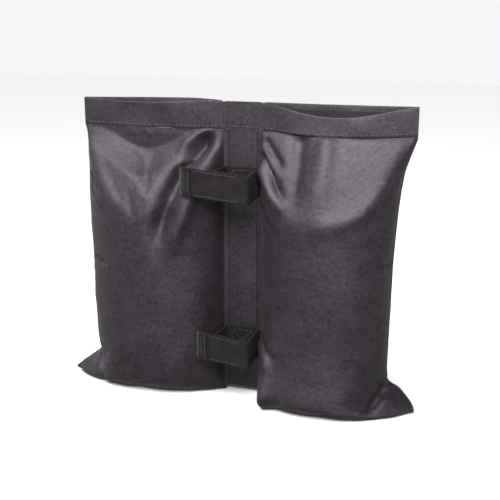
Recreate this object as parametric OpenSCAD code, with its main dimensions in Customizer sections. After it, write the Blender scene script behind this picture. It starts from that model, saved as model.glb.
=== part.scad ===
// Leg-weight sandbag: two sand pockets joined by a flat centre web. Two hook-and-loop straps
// sewn to the front of the web close round a square leg that stands in the groove.
// Frame: millimetres, +Z up, -Y is the front, and the origin is on the floor under the middle.

/* [Bag] */
// Width of the mouth, from side seam to side seam
bag_w = 460; // [400:1:560]
// Height from the floor to the top edge of the hem
bag_h = 409; // [360:1:490]
// Thickness of a filled pocket where it is fullest
bag_d = 130; // [126:1:158]
// How far each flat bottom corner stands out past the mouth
corner_out = 18; // [5:1:25]
// How far a filled side pulls in from the mouth's width
waist_in = 16; // [5:1:25]
// Height of a flat bottom corner's tip above the floor
corner_lift = 10; // [4:1:16]
// Height above the floor at which a flat bottom corner has run out into the filled side
corner_h = 46; // [30:1:70]
// Height at which a pocket is fullest
belly_z = 80; // [60:1:110]
// Thickness of the coated cloth
cloth_t = 1.2; // [0.8:0.1:1.6]
// Flat margin sewn along each side seam
seam_margin = 5; // [4:0.5:8]

/* [Mouth] */
// Height of the hem bands
hem_h = 36; // [26:1:44]
// Thickness of a hem, which is the cloth folded double
hem_t = 2; // [1.6:0.1:3]
// How far the front hem's top edge stays below the back hem's
hem_drop = 5; // [0:0.5:8]
// Width of the closing tapes
tape_w = 20; // [12:1:24]
// Thickness of one closing tape
tape_t = 1.2; // [0.8:0.1:1.6]
// Gap between the two closing tapes, and under the front hem where it turns
mouth_gap = 0.3; // [0.2:0.1:0.6]

/* [Centre web] */
// Distance between the two lines that the pockets fold about
web_w = 52; // [50:1:70]
// Gap between the web's edge and a fold line
fold_gap = 1.5; // [1.4:0.1:2]
// Height of the web's lower edge above the floor
web_lift = 8; // [4:1:20]

/* [Sand] */
// Height that the sand fills a pocket to
sand_h = 292; // [200:1:300]
// Gap between the sand and the cloth
sand_gap = 1; // [0.8:0.1:1.5]

/* [Straps] */
// Width of the square leg that the straps hold
leg_w = 45; // [35:1:45]
// Total clearance round the leg
leg_clear = 0.5; // [0.5:0.1:1.5]
// Width of the webbing
strap_w = 38; // [25:1:50]
// Thickness of the webbing
strap_t = 2.2; // [1.5:0.1:2.4]
// Height of the upper strap's middle
upper_z = 304; // [260:1:312]
// Height of the lower strap's middle
lower_z = 79; // [50:1:95]
// How far the upper strap's free end stands out past the leg
upper_tail = 45; // [20:1:50]
// How far the lower strap's free end stands out past the leg
lower_tail = 24; // [18:1:40]
// Gap between the hook tape and the loop tape of a closed strap
grip_gap = 0.3; // [0.2:0.1:0.6]
// Length of the free end that is folded back and sewn
end_fold = 9; // [6:1:14]

/* [Thread] */
// Thickness of the sewing thread
thread_t = 0.6; // [0.4:0.1:1]
// Distance from one stitch to the next
stitch_pitch = 8; // [6:0.5:12]
// Length of one stitch
stitch_l = 5.5; // [3:0.5:5.5]

/* [Hidden] */
$fn = 32;
cloth_col = "#2b292c";
hem_col = "#302e31";
web_col = "#242326";
strap_col = "#1f1f1f";
hook_col = "#161616";
loop_col = "#2a2a2a";
thread_col = "#3a3a3a";
sand_col = "#b9a27c";

// Heights and places that follow from the sizes above
hem_z = bag_h - hem_h;              // the hem's lower edge, where a pocket's cloth ends
mouth_x = bag_w / 2;                // the side seam at the mouth
fold_x = web_w / 2;                 // the line that a pocket folds about
web_half = fold_x - fold_gap;       // the web's edge
fill_in_x = fold_x + seam_margin;   // where a pocket's filled part begins
half_d = bag_d / 2 - cloth_t;       // the inside depth of half a pocket
tape_z = hem_z + (hem_h - hem_drop - tape_w) / 2;
tape_face = mouth_gap / 2;          // the tape's inner face
hem_back = tape_face + tape_t;      // the hem's inner face
hem_front = hem_back + hem_t;       // the hem's outer face

// The strap's layers, counted forward from the web: every value is a distance in front of y = 0
base_back = cloth_t;
base_front = base_back + strap_t;
channel_back = base_front + thread_t + leg_clear / 2;
channel_front = channel_back + leg_w + leg_clear;
wrap_front = channel_front + strap_t;
loop_front = wrap_front + tape_t;
hook_back = loop_front + grip_gap;
hook_front = hook_back + tape_t;
tail_front = hook_front + strap_t;
strap_x = (leg_w + leg_clear) / 2;  // the inner face of both side runs
pin_r = strap_t / 2;                // the round end that a strap turns on
pin_gap = 0.4;                      // clearance round that end
tail_pin = [strap_x + pin_r, -(hook_front + pin_r)];
wrap_pin = [-(strap_x + pin_r), -(base_back + pin_r + pin_gap)];
wrap_end = strap_x / 2;             // the wrap's end under the tail

// The pocket's outline. Across: 0 at both seams, 1 in the middle. Up: 0 at the bottom seam, 1 at
// the belly, and narrowing to 0 at the hem.
across_power = 2.3;
across_round = 0.75;
base_power = 4;                     // squareness of the pocket's foot
base_crowd = 1.6;                   // draws the foot's steps towards the belly
brow_power = 5;
brow_round = 0.9;
corner_power = 1.3;                 // how hollow a flat corner's upper edge is
base_steps = 7;
side_steps = 11;
across_steps = 12;

function across(s) = pow(max(0, 1 - pow(abs(2 * s - 1), across_power)), across_round);
function base_angle(j) = 90 * (1 - pow(1 - j / base_steps, base_crowd));
function wall_z(j) = j <= 1 ? 0     // the foot is flat from the bottom seam out to here
    : j <= base_steps ? belly_z * (1 - pow(cos(base_angle(j)), 2 / base_power))
    : belly_z + (hem_z - belly_z) * (j - base_steps) / side_steps;
function depth(j) = j <= base_steps
    ? pow(sin(base_angle(j)), 2 / base_power)
    : pow(max(0, 1 - pow((j - base_steps) / side_steps, brow_power)), brow_round);

function fill_out_x(z) = mouth_x - seam_margin - waist_in * (1 - pow(z / hem_z, 3));
function corner_reach(z) = (corner_out + waist_in)
    * pow(max(0, 1 - z / corner_h), corner_power);
function seam_x(z) = fill_out_x(z) + seam_margin + corner_reach(z);

// A station is [kind, s]: the kind is 0 on the inner seam, 1 in the filled part and 2 on the side seam
stations = concat([[0, 0]],
    [for (i = [0 : across_steps]) [1, (1 - cos(180 * i / across_steps)) / 2]], [[2, 1]]);
function station_x(st, z) = st[0] == 0 ? fold_x
    : st[0] == 2 ? seam_x(z)
    : fill_in_x + (fill_out_x(z) - fill_in_x) * st[1];
function lift(st, z) = (st[0] == 2 ? corner_lift
    : st[1] > 0.8 ? corner_lift * pow((st[1] - 0.8) / 0.2, 3) / 2
    : 0) * (1 - z / hem_z);
function full(st) = st[0] == 1 ? across(st[1]) : 0;
function tape_room(st, z) = st[0] == 1 ? hem_back * pow(z / hem_z, 4) : 0;

function outer_point(st, j) =
    let (z = wall_z(j))
    [station_x(st, z),
     j == 0 ? 0 : -(cloth_t + tape_room(st, z) + half_d * full(st) * depth(j)),
     z + lift(st, z)];
function inner_point(st, j) =
    let (z = wall_z(j))
    [station_x(st, z),
     j == 0 ? 0 : -(tape_room(st, z) + half_d * full(st) * depth(j)),
     z + (cloth_t + lift(st, z)) * (1 - z / hem_z)];

// Skins a row of closed loops, all with the same number of points, and closes both ends with the
// same triangles and quads, given in caps as places in a loop.
module skin(loops, caps) {
    n = len(loops[0]);
    last = len(loops) - 1;
    sides = [for (i = [0 : last - 1], k = [0 : n - 1])
        let (a = i * n + k, b = i * n + (k + 1) % n, c = a + n, d = b + n)
        each [[a, b, d], [a, d, c]]];
    ends = [for (q = caps, k = [1 : len(q) - 2]) each [
        [q[0], q[k + 1], q[k]],
        [for (i = [0, k, k + 1]) q[i] + last * n]]];
    polyhedron([for (loop = loops) each loop], concat(sides, ends));
}

// One wall of a pocket: a sheet of cloth from the bottom seam, round the foot and up to the hem.
module pocket_wall() {
    m = base_steps + side_steps;
    loops = [for (st = stations) concat(
        [for (j = [0 : m]) outer_point(st, j)],
        [for (j = [m : -1 : 0]) inner_point(st, j)])];
    n = 2 * m + 2;
    skin(loops, [for (j = [0 : m - 1]) [j, j + 1, n - 2 - j, n - 1 - j]]);
}

// The sand in one pocket: it fills the pocket's foot and belly and lies level with a low crown.
module sand() {
    sand_steps = base_steps + floor((sand_h - belly_z) / (hem_z - belly_z) * side_steps);
    crown = 8;
    loops = [for (st = [for (i = [2 : across_steps]) stations[i]])
        let (
            front = [for (j = [1 : sand_steps]) let (p = inner_point(st, j))
                [p[0], min(0, p[1] + sand_gap), p[2] + sand_gap]],
            top = front[sand_steps - 1])
        concat(front,
            [[top[0], 0, top[2] + crown * full(st)]],
            [for (j = [sand_steps - 1 : -1 : 0]) [front[j][0], -front[j][1], front[j][2]]])];
    n = 2 * sand_steps + 1;
    skin(loops, concat(
        [for (j = [0 : sand_steps - 2]) [j, j + 1, n - 2 - j, n - 1 - j]],
        [[sand_steps - 1, sand_steps, sand_steps + 1]]));
}

// A flat hem band between a fold line and the side seam, standing on the pocket's top edge.
module hem_band(height, gap) {
    color(hem_col)
        translate([fold_x + hem_t, -hem_front, hem_z + gap])
            cube([mouth_x - fold_x - 2 * hem_t, hem_t, height - gap]);
}

// A closing tape on the inner face of a hem band.
module closing_tape(col) {
    inset = seam_margin + hem_t;
    color(col)
        translate([fold_x + inset, -hem_back, tape_z])
            cube([mouth_x - fold_x - 2 * inset, tape_t, tape_w]);
}

// A row of stitches along +X from the origin, on a face that looks towards -Y.
module stitch_row(length) {
    count = floor(length / stitch_pitch);
    for (i = [0 : count - 1])
        translate([(length - count * stitch_pitch) / 2 + i * stitch_pitch, -thread_t, -thread_t / 2])
            cube([stitch_l, thread_t, thread_t]);
}

module hem_stitching() {
    row_in = 6;
    color(thread_col)
        translate([fold_x + row_in, -hem_front, hem_z + 3])
            stitch_row(mouth_x - fold_x - 2 * row_in);
}

module left() { mirror([1, 0, 0]) children(); }
module back() { mirror([0, 1, 0]) children(); }

// The web: front and back cloth sewn together between the pockets, with the hem folded over on top.
module web_layer() {
    color(web_col) {
        translate([-web_half, -cloth_t, web_lift])
            cube([2 * web_half, cloth_t, bag_h - web_lift]);
        translate([-web_half, -cloth_t - hem_t / 2, hem_z])
            cube([2 * web_half, hem_t / 2, hem_h]);
    }
}

// Two upright rows of stitches, one near each edge of the web, that stop clear of the straps.
module web_stitching() {
    row_x = web_half - 3;
    stretches = [
        [web_lift + 4, lower_z - strap_w / 2 - 2],
        [lower_z + strap_w / 2 + 2, upper_z - strap_w / 2 - 2],
        [upper_z + strap_w / 2 + 2, hem_z - 2]];
    color(thread_col)
        for (side = [-1, 1], part = stretches)
            translate([side * row_x, -cloth_t, part[0]])
                rotate([0, -90, 0])
                    stitch_row(part[1] - part[0]);
}

// The webbing sewn flat on the web, with the run that goes forward along the leg's right side.
module strap_base(z) {
    run_end = -tail_pin[1] - pin_r - pin_gap;
    color(strap_col)
        translate([0, 0, z - strap_w / 2]) {
            translate([-strap_x + pin_gap, -base_front, 0])
                cube([2 * strap_x - pin_gap, strap_t, strap_w]);
            translate([strap_x, -run_end, 0])
                cube([strap_t, run_end - base_back, strap_w]);
        }
}

// A box of stitches with a cross in it, sewn through the webbing and the web.
module box_stitch(z) {
    box_w = 30;
    box_h = strap_w - 10;
    lean = atan2(box_h, box_w);
    diagonal = norm([box_w, box_h]) - 2 * thread_t;
    color(thread_col)
        translate([0, -base_front - thread_t / 2, z]) {
            for (side = [-1, 1]) {
                translate([0, 0, side * box_h / 2])
                    cube([box_w, thread_t, thread_t], center = true);
                translate([side * box_w / 2, 0, 0])
                    cube([thread_t, thread_t, box_h + thread_t], center = true);
                rotate([0, side * lean, 0])
                    cube([diagonal, thread_t, thread_t], center = true);
            }
        }
}

// The half of a strap that goes round the leg's left side and under the tail.
module strap_wrap(z) {
    color(strap_col)
        translate([0, 0, z - strap_w / 2]) {
            translate(wrap_pin)
                cylinder(r = pin_r, h = strap_w);
            translate([-strap_x - strap_t, -wrap_front, 0])
                cube([strap_t, wrap_front + wrap_pin[1], strap_w]);
            translate([-strap_x - strap_t, -wrap_front, 0])
                cube([strap_x + strap_t + wrap_end, strap_t, strap_w]);
        }
}

// Loop tape sewn on the front of the wrap.
module loop_patch(z) {
    patch_w = strap_w - 4;
    color(loop_col)
        translate([-strap_x + 1, -loop_front, z - patch_w / 2])
            cube([strap_x - 2 + wrap_end, tape_t, patch_w]);
}

// The free half of a strap: it turns on its round end and crosses the leg's front.
module strap_tail(z, out) {
    tip_x = -strap_x - strap_t - out;
    color(strap_col)
        translate([0, 0, z - strap_w / 2]) {
            translate(tail_pin)
                cylinder(r = pin_r, h = strap_w);
            translate([tip_x, -tail_front, 0])
                cube([tail_pin[0] - tip_x, strap_t, strap_w]);
            translate([tip_x, -tail_front - strap_t, 0])
                cube([end_fold, strap_t, strap_w]);
        }
}

// Hook tape sewn on the back of the tail, from the leg's front to the free end.
module hook_patch(z, out) {
    patch_w = strap_w - 4;
    tip_x = -strap_x - strap_t - out + 3;
    color(hook_col)
        translate([tip_x, -hook_front, z - patch_w / 2])
            cube([wrap_end - 2 - tip_x, tape_t, patch_w]);
}

NODES = [
    "web_front_cloth", "web_back_cloth", "web_stitching",
    "upper_strap_base", "upper_box_stitch", "lower_strap_base", "lower_box_stitch",
    "left_front_wall", "left_back_wall", "left_sand", "left_back_hem", "left_loop_tape",
    "right_front_wall", "right_back_wall", "right_sand", "right_back_hem", "right_loop_tape",
    "left_front_hem", "left_hook_tape", "left_hem_stitching",
    "right_front_hem", "right_hook_tape", "right_hem_stitching",
    "upper_strap_wrap", "upper_loop_patch", "upper_strap_tail", "upper_hook_patch",
    "lower_strap_wrap", "lower_loop_patch", "lower_strap_tail", "lower_hook_patch"];
node = "all";

function shown(name) = node == "all" || node == name;

if (shown("web_front_cloth")) web_layer();
if (shown("web_back_cloth")) back() web_layer();
if (shown("web_stitching")) web_stitching();

if (shown("right_front_wall")) color(cloth_col) pocket_wall();
if (shown("right_back_wall")) color(cloth_col) back() pocket_wall();
if (shown("right_sand")) color(sand_col) sand();
if (shown("right_back_hem")) back() hem_band(hem_h, 0);
if (shown("right_loop_tape")) back() closing_tape(loop_col);
if (shown("right_front_hem")) hem_band(hem_h - hem_drop, mouth_gap);
if (shown("right_hook_tape")) closing_tape(hook_col);
if (shown("right_hem_stitching")) hem_stitching();

if (shown("left_front_wall")) color(cloth_col) left() pocket_wall();
if (shown("left_back_wall")) color(cloth_col) left() back() pocket_wall();
if (shown("left_sand")) color(sand_col) left() sand();
if (shown("left_back_hem")) left() back() hem_band(hem_h, 0);
if (shown("left_loop_tape")) left() back() closing_tape(loop_col);
if (shown("left_front_hem")) left() hem_band(hem_h - hem_drop, mouth_gap);
if (shown("left_hook_tape")) left() closing_tape(hook_col);
if (shown("left_hem_stitching")) left() hem_stitching();

if (shown("upper_strap_base")) strap_base(upper_z);
if (shown("upper_box_stitch")) box_stitch(upper_z);
if (shown("upper_strap_wrap")) strap_wrap(upper_z);
if (shown("upper_loop_patch")) loop_patch(upper_z);
if (shown("upper_strap_tail")) strap_tail(upper_z, upper_tail);
if (shown("upper_hook_patch")) hook_patch(upper_z, upper_tail);

if (shown("lower_strap_base")) strap_base(lower_z);
if (shown("lower_box_stitch")) box_stitch(lower_z);
if (shown("lower_strap_wrap")) strap_wrap(lower_z);
if (shown("lower_loop_patch")) loop_patch(lower_z);
if (shown("lower_strap_tail")) strap_tail(lower_z, lower_tail);
if (shown("lower_hook_patch")) hook_patch(lower_z, lower_tail);
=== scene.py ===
"""Builds the looks of a leg-weight sandbag: two filled pockets, their mouths, the web and two straps."""

import logging
import math
from dataclasses import dataclass, field
from enum import Enum

import bmesh
import bpy
import numpy as np
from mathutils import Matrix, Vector, noise


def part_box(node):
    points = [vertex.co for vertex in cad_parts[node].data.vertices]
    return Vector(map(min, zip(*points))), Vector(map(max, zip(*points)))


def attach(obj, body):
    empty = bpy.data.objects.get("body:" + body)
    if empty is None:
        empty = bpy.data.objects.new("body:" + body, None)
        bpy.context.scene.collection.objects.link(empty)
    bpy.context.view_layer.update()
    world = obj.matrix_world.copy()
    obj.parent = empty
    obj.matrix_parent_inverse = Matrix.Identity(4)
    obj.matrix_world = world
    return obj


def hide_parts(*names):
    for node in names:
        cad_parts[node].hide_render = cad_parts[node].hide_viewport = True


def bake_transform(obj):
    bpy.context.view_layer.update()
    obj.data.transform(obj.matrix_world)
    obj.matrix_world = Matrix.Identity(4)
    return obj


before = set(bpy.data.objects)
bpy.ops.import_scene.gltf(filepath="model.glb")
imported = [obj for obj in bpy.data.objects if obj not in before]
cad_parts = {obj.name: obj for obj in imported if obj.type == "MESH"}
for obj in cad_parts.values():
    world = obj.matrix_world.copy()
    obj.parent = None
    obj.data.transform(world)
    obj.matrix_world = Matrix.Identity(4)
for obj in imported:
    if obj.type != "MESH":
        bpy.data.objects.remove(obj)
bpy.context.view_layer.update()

MM = 0.001
Colour = tuple[float, float, float]
Point = tuple[float, float, float]
SHARP_EDGE = math.radians(62)
STITCH = {"length": 4.4 * MM, "pitch": 6.2 * MM}
log = logging.getLogger("sandbag")


class Side(Enum):
    """Which pocket a piece belongs to. The value is the sign of its x."""

    LEFT = -1
    RIGHT = 1

    @property
    def word(self) -> str:
        """The word that the node names start with."""
        return self.name.lower()


class Face(Enum):
    """The front or the back of the bag. The value is the sign of its y."""

    FRONT = -1
    BACK = 1


# ---------------------------------------------------------------- finishes


class Graph:
    """A short way to write the nodes of one material."""

    def __init__(self, name: str, coords: str = "UV") -> None:
        """Starts a material.

        Args:
            name: the material's name.
            coords: the texture coordinate that the patterns run on.
        """
        self.material = bpy.data.materials.new(name)
        self.material.use_nodes = True
        self.tree = self.material.node_tree
        self.shader = self.tree.nodes["Principled BSDF"]
        self.coords = self.node("ShaderNodeTexCoord").outputs[coords]

    def node(self, kind: str, **settings: object) -> bpy.types.Node:
        """Adds a node.

        Args:
            kind: the node's type name.
            settings: properties to set on it.

        Returns:
            The new node.
        """
        made = self.tree.nodes.new(kind)
        for name, value in settings.items():
            setattr(made, name, value)
        return made

    def link(self, source: bpy.types.NodeSocket, target: bpy.types.NodeSocket) -> None:
        """Joins two sockets."""
        self.tree.links.new(source, target)

    def noise(self, scale: float, detail: float = 3.0, roughness: float = 0.55) -> bpy.types.NodeSocket:
        """Adds a noise pattern.

        Args:
            scale: features per metre.
            detail: octaves of finer noise.
            roughness: how strong the finer octaves are.

        Returns:
            The pattern's value, from 0 to 1.
        """
        made = self.node("ShaderNodeTexNoise")
        self.link(self.coords, made.inputs["Vector"])
        made.inputs["Scale"].default_value = scale
        made.inputs["Detail"].default_value = detail
        made.inputs["Roughness"].default_value = roughness
        return made.outputs["Fac"]

    def bands(self, pitch: float, direction: str, wobble: float = 0.0) -> bpy.types.NodeSocket:
        """Adds parallel threads.

        Args:
            pitch: distance from one thread to the next, in metres.
            direction: "X", "Y" or "DIAGONAL", the way the count runs.
            wobble: how far the threads wander.

        Returns:
            The threads' height, from 0 to 1.
        """
        made = self.node("ShaderNodeTexWave", bands_direction=direction)
        self.link(self.coords, made.inputs["Vector"])
        made.inputs["Scale"].default_value = math.pi / (10 * pitch)
        made.inputs["Distortion"].default_value = wobble
        made.inputs["Detail"].default_value = 2.0
        made.inputs["Detail Scale"].default_value = 0.6
        return made.outputs["Fac"]

    def dots(self, pitch: float) -> bpy.types.NodeSocket:
        """Adds small cells, one for each hook, grain or loop.

        Args:
            pitch: distance between cells, in metres.

        Returns:
            The distance from each cell's middle.
        """
        made = self.node("ShaderNodeTexVoronoi")
        self.link(self.coords, made.inputs["Vector"])
        made.inputs["Scale"].default_value = 1 / pitch
        return made.outputs["Distance"]

    def math(self, how: str, a: object, b: object) -> bpy.types.NodeSocket:
        """Combines two values, each a socket or a number.

        Args:
            how: the operation's name.
            a: the first value.
            b: the second value.

        Returns:
            The result's socket.
        """
        made = self.node("ShaderNodeMath", operation=how)
        for place, value in enumerate((a, b)):
            if isinstance(value, bpy.types.NodeSocket):
                self.link(value, made.inputs[place])
            else:
                made.inputs[place].default_value = value
        return made.outputs[0]

    def ramp(self, value: bpy.types.NodeSocket, low: Colour, high: Colour,
             start: float = 0.3, end: float = 0.7) -> bpy.types.NodeSocket:
        """Turns a value into a colour between two others.

        Args:
            value: what chooses the colour.
            low: the colour at start and below.
            high: the colour at end and above.
            start: the value where the change begins.
            end: the value where it ends.

        Returns:
            The colour's socket.
        """
        made = self.node("ShaderNodeValToRGB")
        self.link(value, made.inputs["Fac"])
        first, last = made.color_ramp.elements
        first.position, first.color = start, (*low, 1)
        last.position, last.color = end, (*high, 1)
        return made.outputs["Color"]

    def span(self, value: bpy.types.NodeSocket, low: float, high: float) -> bpy.types.NodeSocket:
        """Stretches a value of 0 to 1 over another range.

        Args:
            value: the value to stretch.
            low: the result at 0.
            high: the result at 1.

        Returns:
            The result's socket.
        """
        made = self.node("ShaderNodeMapRange")
        self.link(value, made.inputs["Value"])
        made.inputs["To Min"].default_value = low
        made.inputs["To Max"].default_value = high
        return made.outputs["Result"]

    def bump(self, layers: list[tuple[bpy.types.NodeSocket, float]]) -> None:
        """Raises the surface by several patterns.

        Args:
            layers: each pattern and its height in metres.
        """
        before = None
        for height, distance in layers:
            made = self.node("ShaderNodeBump")
            made.inputs["Distance"].default_value = distance
            self.link(height, made.inputs["Height"])
            if before is not None:
                self.link(before, made.inputs["Normal"])
            before = made.outputs["Normal"]
        self.link(before, self.shader.inputs["Normal"])

    def put(self, **values: object) -> None:
        """Sets or links the shader's own sockets.

        Args:
            values: socket names with underscores for spaces, each with a socket, number or colour.
        """
        for name, value in values.items():
            socket = self.shader.inputs[name.replace("_", " ")]
            if isinstance(value, bpy.types.NodeSocket):
                self.link(value, socket)
            else:
                socket.default_value = value


def shade(colour: Colour, factor: float) -> Colour:
    """Returns a colour made lighter or darker by a factor."""
    return tuple(channel * factor for channel in colour)


@dataclass(frozen=True)
class CoatedCloth:
    """Woven polyester with a dull coating: a fine plain weave, slight mottling and a soft shine."""

    name: str
    colour: Colour
    gloss: tuple[float, float] = (0.34, 0.56)
    thread: float = 0.9 * MM

    def material(self) -> bpy.types.Material:
        """Returns the material."""
        graph = Graph(self.name)
        warp = graph.bands(self.thread, "X", 0.4)
        weft = graph.bands(self.thread, "Y", 0.4)
        weave = graph.math("MULTIPLY", warp, weft)
        mottle = graph.noise(190, 5.0, 0.75)
        patches = graph.noise(38, 3.0, 0.6)
        crinkle = graph.noise(120, 2.0, 0.5)
        tone = graph.math("ADD", graph.math("MULTIPLY", mottle, 0.55), graph.math("MULTIPLY", patches, 0.45))
        graph.put(
            Base_Color=graph.ramp(tone, shade(self.colour, 0.55), shade(self.colour, 1.7), 0.36, 0.66),
            Roughness=graph.span(graph.math("ADD", graph.math("MULTIPLY", patches, 0.6),
                                            graph.math("MULTIPLY", mottle, 0.4)), *self.gloss),
            Specular_IOR_Level=graph.span(mottle, 0.1, 0.8), Sheen_Weight=0.03, Sheen_Roughness=0.4,
            Sheen_Tint=(0.85, 0.82, 0.88, 1), Specular_Tint=(0.97, 0.88, 1.0, 1))
        graph.bump([(weave, 0.14 * MM), (mottle, 0.34 * MM), (crinkle, 0.3 * MM), (patches, 0.5 * MM)])
        return graph.material


@dataclass(frozen=True)
class Webbing:
    """Matt woven webbing with ribs along it and a fine cross weave."""

    name: str
    colour: Colour
    rib: float = 1.6 * MM

    def material(self) -> bpy.types.Material:
        """Returns the material."""
        graph = Graph(self.name)
        ribs = graph.bands(self.rib, "Y", 0.3)
        cross = graph.bands(self.rib * 0.55, "X", 0.6)
        weave = graph.math("MULTIPLY", ribs, graph.math("ADD", graph.math("MULTIPLY", cross, 0.6), 0.4))
        fuzz = graph.noise(900, 3.0, 0.7)
        worn = graph.noise(60, 3.0, 0.6)
        tone = graph.math("ADD", graph.math("MULTIPLY", weave, 0.5), graph.math("MULTIPLY", worn, 0.5))
        graph.put(
            Base_Color=graph.ramp(tone, shade(self.colour, 0.6), shade(self.colour, 1.7), 0.15, 0.75),
            Roughness=graph.span(fuzz, 0.62, 0.95), Specular_IOR_Level=graph.span(worn, 0.02, 0.28),
            Specular_Tint=(1.0, 0.9, 0.92, 1), Sheen_Weight=0.02,
            Sheen_Roughness=0.5)
        graph.bump([(weave, 0.6 * MM), (fuzz, 0.3 * MM), (worn, 0.8 * MM)])
        return graph.material


@dataclass(frozen=True)
class HookTape:
    """Stiff tape with rows of fine hooks."""

    name: str
    colour: Colour
    hook: float = 1.1 * MM

    def material(self) -> bpy.types.Material:
        """Returns the material."""
        graph = Graph(self.name)
        hooks = graph.dots(self.hook)
        rows = graph.bands(self.hook * 1.3, "Y")
        graph.put(
            Base_Color=graph.ramp(hooks, shade(self.colour, 2.0), shade(self.colour, 0.5), 0.1, 0.5),
            Roughness=graph.span(rows, 0.35, 0.6), Specular_IOR_Level=0.5)
        graph.bump([(graph.math("SUBTRACT", 1.0, hooks), 0.7 * MM), (rows, 0.3 * MM)])
        return graph.material


@dataclass(frozen=True)
class LoopTape:
    """Soft tape with a brushed pile of loops."""

    name: str
    colour: Colour

    def material(self) -> bpy.types.Material:
        """Returns the material."""
        graph = Graph(self.name)
        pile = graph.noise(1400, 5.0, 0.8)
        brushed = graph.noise(180, 3.0, 0.6)
        graph.put(
            Base_Color=graph.ramp(pile, shade(self.colour, 0.5), shade(self.colour, 1.8), 0.3, 0.75),
            Roughness=graph.span(brushed, 0.85, 1.0), Specular_IOR_Level=0.12, Sheen_Weight=0.05,
            Sheen_Roughness=0.6)
        graph.bump([(pile, 0.5 * MM), (brushed, 0.5 * MM)])
        return graph.material


@dataclass(frozen=True)
class Thread:
    """Twisted sewing thread."""

    name: str
    colour: Colour

    def material(self) -> bpy.types.Material:
        """Returns the material."""
        graph = Graph(self.name)
        twist = graph.bands(0.5 * MM, "DIAGONAL")
        fuzz = graph.noise(2200, 2.0)
        graph.put(
            Base_Color=graph.ramp(twist, shade(self.colour, 0.6), shade(self.colour, 1.3), 0.2, 0.8),
            Roughness=graph.span(fuzz, 0.5, 0.75), Specular_IOR_Level=0.4, Sheen_Weight=0.2)
        graph.bump([(twist, 0.12 * MM), (fuzz, 0.05 * MM)])
        return graph.material


@dataclass(frozen=True)
class DrySand:
    """Loose pale sand of mixed grains."""

    name: str
    colour: Colour
    grain: float = 0.9 * MM

    def material(self) -> bpy.types.Material:
        """Returns the material."""
        graph = Graph(self.name, "Object")
        grains = graph.dots(self.grain)
        drift = graph.noise(45, 4.0, 0.6)
        mixed = graph.noise(1100, 2.0, 0.6)
        graph.put(
            Base_Color=graph.ramp(mixed, shade(self.colour, 0.45), shade(self.colour, 1.35), 0.3, 0.7),
            Roughness=graph.span(drift, 0.8, 1.0), Specular_IOR_Level=0.25)
        graph.bump([(grains, 0.6 * MM), (drift, 2.0 * MM)])
        return graph.material


@dataclass(frozen=True)
class PalePaint:
    """Plain pale paint for the floor."""

    name: str
    colour: Colour

    def material(self) -> bpy.types.Material:
        """Returns the material."""
        graph = Graph(self.name, "Object")
        graph.put(Base_Color=(*self.colour, 1), Roughness=0.9, Specular_IOR_Level=0.1)
        return graph.material


@dataclass
class Finishes:
    """Every finish on the bag, made once."""

    pocket: bpy.types.Material = field(
        default_factory=lambda: CoatedCloth("pocket_cloth", (0.0086, 0.0066, 0.0084)).material())
    web: bpy.types.Material = field(
        default_factory=lambda: CoatedCloth("web_cloth", (0.0075, 0.0060, 0.0074), (0.42, 0.62)).material())
    hem: bpy.types.Material = field(
        default_factory=lambda: CoatedCloth("hem_cloth", (0.0090, 0.0070, 0.0088), (0.38, 0.58)).material())
    webbing: bpy.types.Material = field(
        default_factory=lambda: Webbing("webbing", (0.0066, 0.0056, 0.0060)).material())
    hook: bpy.types.Material = field(
        default_factory=lambda: HookTape("hook_tape", (0.0135, 0.0125, 0.0135)).material())
    loop: bpy.types.Material = field(
        default_factory=lambda: LoopTape("loop_tape", (0.0150, 0.0125, 0.0145)).material())
    thread: bpy.types.Material = field(
        default_factory=lambda: Thread("thread", (0.040, 0.036, 0.040)).material())
    sand: bpy.types.Material = field(
        default_factory=lambda: DrySand("sand", (0.46, 0.34, 0.20)).material())


# ---------------------------------------------------------------- mesh making


def mesh_piece(name: str, points: np.ndarray, faces: list[tuple[int, ...]],
               material: bpy.types.Material, uvs: np.ndarray | None = None) -> bpy.types.Object:
    """Makes a smooth-shaded piece.

    Args:
        name: the piece's name.
        points: its vertices in metres.
        faces: the vertices of each face.
        material: its finish.
        uvs: where each vertex lies on the flat cloth, in metres.

    Returns:
        The new object.
    """
    mesh = bpy.data.meshes.new(name)
    mesh.from_pydata([tuple(p) for p in points], [], faces)
    mesh.validate()
    mesh.materials.append(material)
    if uvs is not None:
        layer = mesh.uv_layers.new(name="flat_cloth")
        where = np.empty(len(mesh.loops), dtype=np.int32)
        mesh.loops.foreach_get("vertex_index", where)
        layer.data.foreach_set("uv", np.asarray(uvs, dtype=np.float32)[where].ravel())
    mesh.polygons.foreach_set("use_smooth", [True] * len(mesh.polygons))
    piece = bpy.data.objects.new(name, mesh)
    bpy.context.scene.collection.objects.link(piece)
    return piece


def keep_modifiers(piece: bpy.types.Object) -> None:
    """Applies every modifier on a piece to its mesh.

    Args:
        piece: the piece, changed in place.
    """
    bpy.context.view_layer.update()
    seen = piece.evaluated_get(bpy.context.evaluated_depsgraph_get())
    made = bpy.data.meshes.new_from_object(seen)
    piece.modifiers.clear()
    old = piece.data
    piece.data = made
    bpy.data.meshes.remove(old)


def outward(piece: bpy.types.Object) -> None:
    """Turns a closed piece's faces outward and keeps its sharp edges sharp.

    Args:
        piece: the piece, changed in place.
    """
    work = bmesh.new()
    work.from_mesh(piece.data)
    bmesh.ops.recalc_face_normals(work, faces=work.faces)
    work.to_mesh(piece.data)
    work.free()
    piece.data.set_sharp_from_angle(angle=SHARP_EDGE)


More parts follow.
